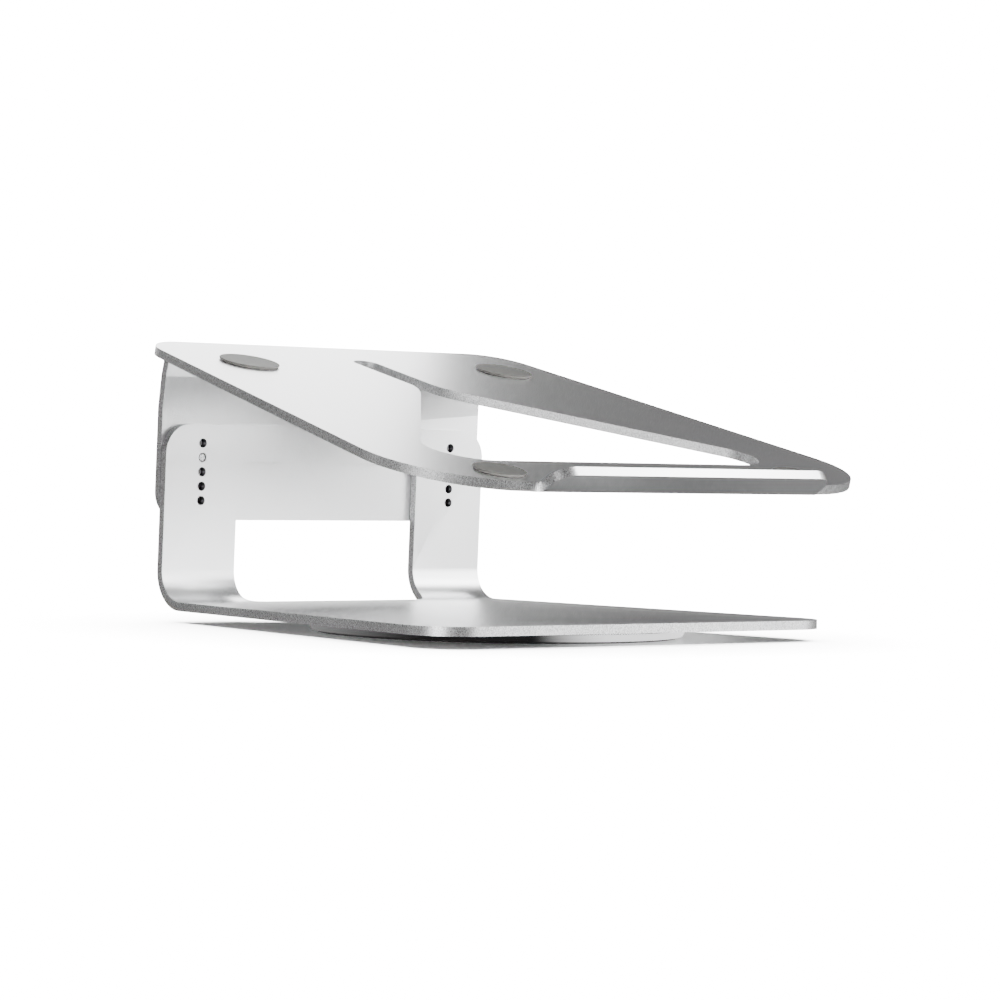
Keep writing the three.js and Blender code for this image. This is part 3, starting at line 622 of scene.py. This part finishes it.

# %% [markdown]
# ## The two height screws
# A socket screw is one closed turned surface if its radius may wave: the shank's thread is a
# helix, the head is knurled, and the socket is a hexagon, whose radius is flat / cos(angle).
# Just behind its end the shank is stepped in and coloured near black, a painted shade, so that a dark ring
# shows round it in the hole.

# %% Socket screws
BOLT_RADIUS, BOLT_HEAD_RADIUS, BOLT_MIDDLE = 2.0 * MM, 3.6 * MM, 0.3 * MM
SCREW_END, HEAD_START, HEAD_LENGTH = 0.3 * MM, 11.0 * MM, 2.38 * MM
END_STEP, END_LENGTH, DARK_FROM, DARK_TO = 0.45 * MM, 0.7 * MM, 0.05 * MM, 1.2 * MM
THREAD_START, THREAD_SHORT, NECK_STEP = 0.8 * MM, 0.3 * MM, 0.1 * MM
UNDER_STEP, UNDER_RISE = 0.2 * MM, 0.15 * MM
CROWN_STEP, CROWN_DROP, LIP_STEP, LIP_DROP = 0.6 * MM, 0.5 * MM, 0.12 * MM, 0.55 * MM
SOCKET_DEPTH, SOCKET_FLAT, SOCKET_MOUTH, SOCKET_EASE = 1.4 * MM, 1.13 * MM, 1.25, 0.15 * MM
SOCKET_CONE, KNURL_WAVES, KNURL_DEPTH = 0.1 * MM, 16, 0.03


def socket_screw(name, place):
    """Rings from the shank's end to the socket's floor, each with a radius for every angle."""
    around = 96
    a = np.arange(around) * 2 * np.pi / around
    plain = np.ones(around)
    knurl = 1 - KNURL_DEPTH * np.abs(np.sin(KNURL_WAVES * a))
    hexagon = 1 / np.cos((a + np.pi / 6) % (np.pi / 3) - np.pi / 6)
    z_thread = np.linspace(SCREW_END + THREAD_START, HEAD_START - THREAD_SHORT, 76)
    thread = BOLT_RADIUS - THREAD_DEPTH * helix_saw(z_thread, a)
    end = HEAD_START + HEAD_LENGTH
    rows = [
        (SCREW_END, BOLT_MIDDLE * plain),
        (SCREW_END, (BOLT_RADIUS - END_STEP) * plain),
        (SCREW_END + END_LENGTH, (BOLT_RADIUS - END_STEP) * plain),
        *zip(z_thread, thread),
        (HEAD_START, (BOLT_RADIUS - NECK_STEP) * plain),
        (HEAD_START, (BOLT_HEAD_RADIUS - UNDER_STEP) * plain),
        (HEAD_START + UNDER_RISE, BOLT_HEAD_RADIUS * knurl),
        (end - LIP_DROP, BOLT_HEAD_RADIUS * knurl),
        (end - CROWN_DROP, (BOLT_HEAD_RADIUS - LIP_STEP) * plain),
        (end, (BOLT_HEAD_RADIUS - CROWN_STEP) * plain),
        (end, SOCKET_FLAT * SOCKET_MOUTH * plain),
        (end - SOCKET_EASE, SOCKET_FLAT * hexagon),
        (end - SOCKET_DEPTH, SOCKET_FLAT * hexagon),
        (end - SOCKET_DEPTH - SOCKET_CONE, BOLT_MIDDLE * plain),
    ]
    height = np.array([row[0] for row in rows])
    radius = np.array([row[1] for row in rows])
    return turned_piece(name, radius, height, place, FACE_BACK, around)


for word, side in (("left", -1), ("right", 1)):
    place = hole_place(side, USED_HOLE)
    screw = socket_screw(f"socket_screw_{word}", place)
    dress(screw, SCREW)
    # The shank just behind its end takes the near-black painted shade.
    screw.data.materials.append(PAINTED_HOLE_SHADE)
    depth = (face_arrays(screw.data)[1] - place) @ FACE_BACK
    in_gap = (depth > SCREW_END + DARK_FROM) & (depth < SCREW_END + DARK_TO)
    screw.data.polygons.foreach_set("material_index", in_gap.astype(np.int32))
    stands_for(screw, f"height_screw_{word}", "stand")

# %% [markdown]
# ## Floor
# The floor is white, and it has broad suns of its own, so that it stays pale without washing out the metal.
# A ray that bounces off the metal finds a glowing grey instead of the lit floor. Close round the disc that
# grey is a painted reflection: dark in front, plain to the left and bright to the right, so that the disc's
# rim shows a painted shade in front and a painted highlight to the right, as on a glossy table with a
# bright window to one side.


# %% Floor
def mix_shaders(tree, factor, first, second):
    """A Mix Shader of two shader outputs."""
    node = tree.nodes.new("ShaderNodeMixShader")
    if isinstance(factor, float):
        node.inputs["Fac"].default_value = factor
    else:
        tree.links.new(factor, node.inputs["Fac"])
    tree.links.new(first, node.inputs[1])
    tree.links.new(second, node.inputs[2])
    return node.outputs[0]


def eased(tree, value, low, high):
    """0 below low, 1 above high, and a smooth S between."""
    node = tree.nodes.new("ShaderNodeMapRange")
    node.interpolation_type = "SMOOTHSTEP"
    tree.links.new(value, node.inputs["Value"])
    node.inputs["From Min"].default_value = low
    node.inputs["From Max"].default_value = high
    return node.outputs["Result"]


FLOOR_HALF, FLOOR_WHITE, FLOOR_GLOSS, GLOSS_ROUGHNESS = 30.0, 0.95, 0.2, 0.06
FLOOR_IN_METAL, PAINTED_DARK_FRONT, PAINTED_GREY_LEFT, PAINTED_BRIGHT_RIGHT = 0.3, 0.02, 0.3, 2.2
RIGHTWARD_X, RIGHTWARD_Y = 0.772, 0.635
RIGHT_RISE, LEFT_RISE, DISC_ZONE = (0.015, 0.055), (0.03, 0.09), (0.095, 0.11)


def painted_floor_reflection(tree):
    """Glow of the floor as seen in the metal: a plain grey, and round the disc a painted reflection,
    dark in front, grey to the left and bright to the right, where s = 0.772 x - 0.635 y is the distance to
    the right."""
    split = tree.nodes.new("ShaderNodeSeparateXYZ")
    place = object_place(tree)
    tree.links.new(place, split.inputs[0])
    s = math_node(tree, "SUBTRACT", times(tree, split.outputs["X"], RIGHTWARD_X),
                  times(tree, split.outputs["Y"], RIGHTWARD_Y))
    right = times(tree, eased(tree, s, *RIGHT_RISE), PAINTED_BRIGHT_RIGHT)
    left = times(tree, eased(tree, times(tree, s, -1.0), *LEFT_RISE), PAINTED_GREY_LEFT)
    near = plus(tree, plus(tree, right, left), PAINTED_DARK_FRONT - FLOOR_IN_METAL)
    inside = math_node(tree, "SUBTRACT", 1.0, eased(tree, length_of(tree, place), *DISC_ZONE))
    return plus(tree, times(tree, near, inside), FLOOR_IN_METAL)


def floor_material():
    """White matte floor with a faint gloss, which glossy rays see as the glow of painted_floor_reflection,
    a painted reflection.
    """
    material, tree, shader = started("stage_floor")
    tree.nodes.remove(shader)
    matte = tree.nodes.new("ShaderNodeBsdfDiffuse")
    matte.inputs["Color"].default_value = (FLOOR_WHITE, FLOOR_WHITE, FLOOR_WHITE, 1.0)
    gloss = tree.nodes.new("ShaderNodeBsdfGlossy")
    gloss.inputs["Roughness"].default_value = GLOSS_ROUGHNESS
    plain = tree.nodes.new("ShaderNodeEmission")
    tree.links.new(painted_floor_reflection(tree), plain.inputs["Strength"])
    rays = tree.nodes.new("ShaderNodeLightPath")
    seen = mix_shaders(tree, FLOOR_GLOSS, matte.outputs[0], gloss.outputs[0])
    both = mix_shaders(tree, rays.outputs["Is Glossy Ray"], seen, plain.outputs[0])
    tree.links.new(both, tree.nodes["Material Output"].inputs["Surface"])
    return material


floor_mesh = bpy.data.meshes.new("stage_floor")
square = np.array([(-1, -1, 0), (1, -1, 0), (1, 1, 0), (-1, 1, 0)]) * FLOOR_HALF
floor_mesh.from_pydata(square.tolist(), [], [(0, 1, 2, 3)])
floor_mesh.materials.append(floor_material())
floor = linked("stage_floor", floor_mesh)
floor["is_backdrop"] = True
print("floor in metres:", [round(v, 1) for v in floor.dimensions])

# %% [markdown]
# ## Sky
# To the camera the sky is as bright as the floor, so that no horizon shows. As a light it is dim,
# so that the panels alone shape the metal. One value, mixed by the kind of ray, does both.

# %% Sky
SEEN_SKY, LIT_SKY = 20.0, 0.09
world = bpy.data.worlds.new("studio")
world.use_nodes = True
bpy.context.scene.world = world
sky = world.node_tree
background = sky.nodes["Background"]
background.inputs["Color"].default_value = (1.0, 1.0, 1.0, 1.0)
camera_ray = sky.nodes.new("ShaderNodeLightPath").outputs["Is Camera Ray"]
strength = plus(sky, times(sky, camera_ray, SEEN_SKY - LIT_SKY), LIT_SKY)
sky.links.new(strength, background.inputs["Strength"])
print("sky as seen and as light:", SEEN_SKY, LIT_SKY)

# %% [markdown]
# ## Light
# Satin metal shows what it reflects, so the lights are soft panels. A large one at the front
# right whitens the upright. One close behind the tray brightens its rear left and leaves its
# front dim. One high on the right draws a bright band along the lip's tip, a faint one overhead
# fills the tops, and two at the left lift the sawn edges.
# Two broad suns light the floor alone. The weaker one casts no shadow of the stand, so the share
# between them says how deep the shadow is.


# %% Lights
def soft_panel(name, place, target, width, height, power):
    """A rectangular light at a place, facing a target, unseen by the camera itself."""
    light = bpy.data.lights.new(name, "AREA")
    light.shape = "RECTANGLE"
    light.size, light.size_y, light.energy = width, height, power
    panel = linked(name, light)
    panel.location = place
    way = Vector(target) - Vector(place)
    panel.rotation_euler = way.to_track_quat("-Z", "Y").to_euler()
    panel.visible_camera = False


CENTRE, LIP_MIDDLE, TRAY_REAR_LEFT = (0.0, 0.0, 0.07), (0.0, -0.13, 0.07), (-0.09, 0.09, 0.12)
soft_panel("front_right", (1.15, -1.35, 0.55), CENTRE, 1.4, 1.1, 42.0)
soft_panel("behind_tray", (0.06, 0.47, 0.31), TRAY_REAR_LEFT, 0.5, 0.3, 2.9)
soft_panel("overhead", (0.0, 0.0, 1.6), CENTRE, 1.6, 1.6, 1.5)
soft_panel("lip_glow", (0.75, -0.52, 0.9), LIP_MIDDLE, 0.5, 0.5, 14.0)
soft_panel("left_fill", (-1.5, -0.72, 0.2), CENTRE, 0.6, 0.6, 22.0)
soft_panel("behind_left", (-1.3, 1.0, 0.15), CENTRE, 0.6, 0.6, 1.2)

FLOOR_SUN, SHADOW_SHARE, SUN_WIDTH = 70.0, 0.93, math.radians(100)
lit_by_sun = bpy.data.collections.new("lit_by_sun")
lit_by_sun.objects.link(floor)


def floor_light(name, energy):
    """A broad sun from straight above that lights the floor alone."""
    light = bpy.data.lights.new(name, "SUN")
    light.energy = energy
    light.angle = SUN_WIDTH
    sun = linked(name, light)
    sun.light_linking.receiver_collection = lit_by_sun
    return sun


floor_light("floor_sun", FLOOR_SUN * SHADOW_SHARE)
fill_sun = floor_light("floor_fill", FLOOR_SUN * (1 - SHADOW_SHARE))
fill_sun.light_linking.blocker_collection = lit_by_sun
print("lights:", sorted(light.name for light in bpy.data.lights))

# %% [markdown]
# ## Camera
# The camera stands low, at the front left, and far off with a long lens, so that the stand is
# seen almost along its base plate. Its right, up and back directions are worked out from its
# turn, dip and roll, and they are the columns of its rotation.

# %% Camera
CAMERA_PLACE = Vector((-1032.5, -1255.6, 82.8)) * MM
CAMERA_TURN, CAMERA_DIP, CAMERA_ROLL = (math.radians(v) for v in (-39.436, -0.826, 1.224))
CAMERA_LENS, SENSOR_WIDTH, SEES_TO = 131.8, 36.0, 100.0


def camera_turning(turn, dip, roll):
    """A rotation whose columns are the camera's right, up and back, looking along the turn and dip."""
    ahead = Vector((-math.sin(turn) * math.cos(dip), math.cos(turn) * math.cos(dip), math.sin(dip)))
    right = ahead.cross(Vector((0, 0, 1))).normalized()
    up = right.cross(ahead)
    rolled_right = math.cos(roll) * right + math.sin(roll) * up
    rolled_up = math.cos(roll) * up - math.sin(roll) * right
    return Matrix((rolled_right, rolled_up, -ahead)).transposed()


view = bpy.data.cameras.new("view")
view.lens = CAMERA_LENS
view.sensor_width = SENSOR_WIDTH
view.clip_end = SEES_TO
camera = linked("view", view)
turning = camera_turning(CAMERA_TURN, CAMERA_DIP, CAMERA_ROLL).to_4x4()
camera.matrix_world = Matrix.Translation(CAMERA_PLACE) @ turning
bpy.context.scene.camera = camera
print("camera's distance in mm:", round(CAMERA_PLACE.length / MM))

# %% [markdown]
# ## Sizes
# The dressed stand has to be as large as the measured one, so the size of its box is printed.

# %% Sizes, and the end
low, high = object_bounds()
print("visual size in mm:", [round(v / MM, 1) for v in high - low])
